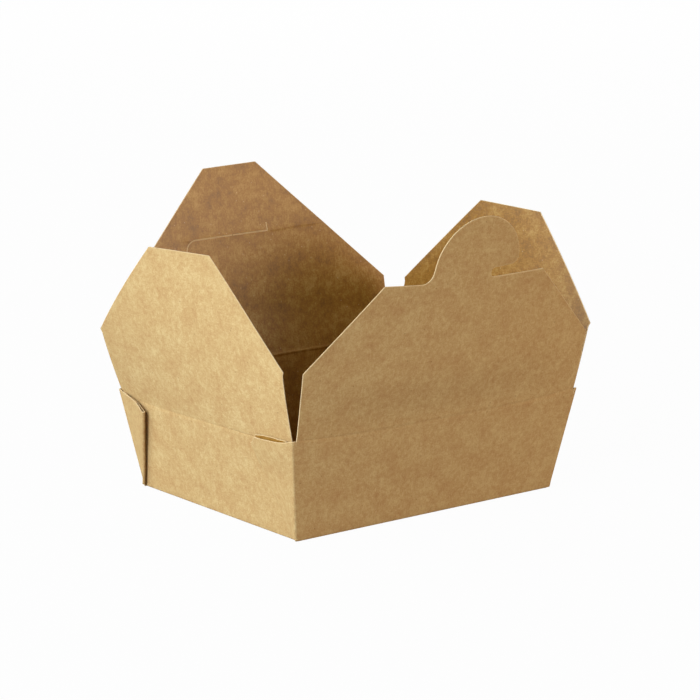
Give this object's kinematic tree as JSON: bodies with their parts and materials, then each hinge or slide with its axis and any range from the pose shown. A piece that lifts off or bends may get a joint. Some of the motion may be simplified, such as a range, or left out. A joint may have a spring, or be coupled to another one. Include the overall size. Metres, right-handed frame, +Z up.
{
  "type": "takeaway box",
  "caption": "Folded kraft board takeaway box with a flared tray, doubled corner webs, end flaps, a slit back flap and a front flap with a locking hook.",
  "frame": {"origin": "middle of the base's underside, on the surface that the box stands on", "axes": "+X along the box's length towards the right end flap, +Z up, and the front flap with the hook on the -Y side"},
  "size_m": [0.1988, 0.1879, 0.1444],
  "materials": {
    "kraft_board": "unbleached kraft, fibrous outside, faintly glossy lining inside"
  },
  "bodies": {
    "tray": {"tray": "kraft_board"},
    "front_flap": {"front_flap": "kraft_board"},
    "back_flap": {"back_flap": "kraft_board"},
    "left_end_flap": {"left_end_flap": "kraft_board"},
    "right_end_flap": {"right_end_flap": "kraft_board"}
  },
  "joints": [
    {"name": "front_crease", "type": "hinge", "parent": "tray", "child": "front_flap", "pos_m": [0, -0.06925, 0.04995], "axis": [1, 0, 0], "range_deg": [-100.5, 88]},
    {"name": "back_crease", "type": "hinge", "parent": "tray", "child": "back_flap", "pos_m": [0, 0.06925, 0.04995], "axis": [-1, 0, 0], "range_deg": [-102.5, 87.5]},
    {"name": "left_end_crease", "type": "hinge", "parent": "tray", "child": "left_end_flap", "pos_m": [-0.08256, 0, 0.04596], "axis": [0, -1, 0], "range_deg": [-104, 80]},
    {"name": "right_end_crease", "type": "hinge", "parent": "tray", "child": "right_end_flap", "pos_m": [0.08256, 0, 0.04596], "axis": [0, 1, 0], "range_deg": [-107.5, 76.5]}
  ]
}
